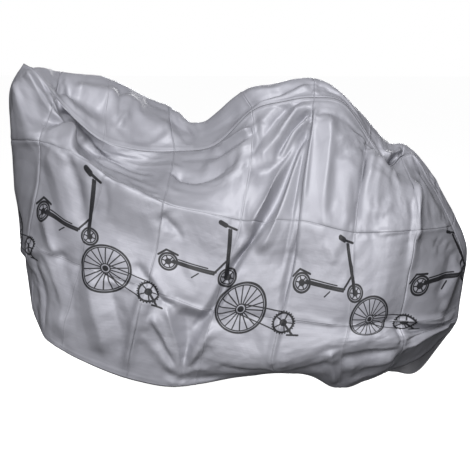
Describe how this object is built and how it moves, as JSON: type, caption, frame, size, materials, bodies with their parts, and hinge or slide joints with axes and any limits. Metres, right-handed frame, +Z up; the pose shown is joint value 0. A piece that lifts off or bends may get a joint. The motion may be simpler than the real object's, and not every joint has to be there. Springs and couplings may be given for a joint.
{
  "type": "bicycle cover",
  "caption": "Hollow film cover for a bicycle: two large panels welded along the top and down both ends, open at the hem, hanging as it drapes over grips and saddle.",
  "frame": {"origin": "the point on the underside of the top that lies on the saddle", "axes": "+X towards the rear wheel, -Y the near side, +Z up as it hangs; the ground under the wheels is at z = -0.965"},
  "size_m": [1.4607, 0.5704, 0.9815],
  "materials": {
    "near_film": "silver-grey plastic film with a soft satin sheen, packing creases and black printed line figures",
    "far_film": "silver-grey plastic film with a soft satin sheen and packing creases"
  },
  "bodies": {
    "root": {"near_panel": "near_film", "far_panel": "far_film"}
  },
  "joints": []
}
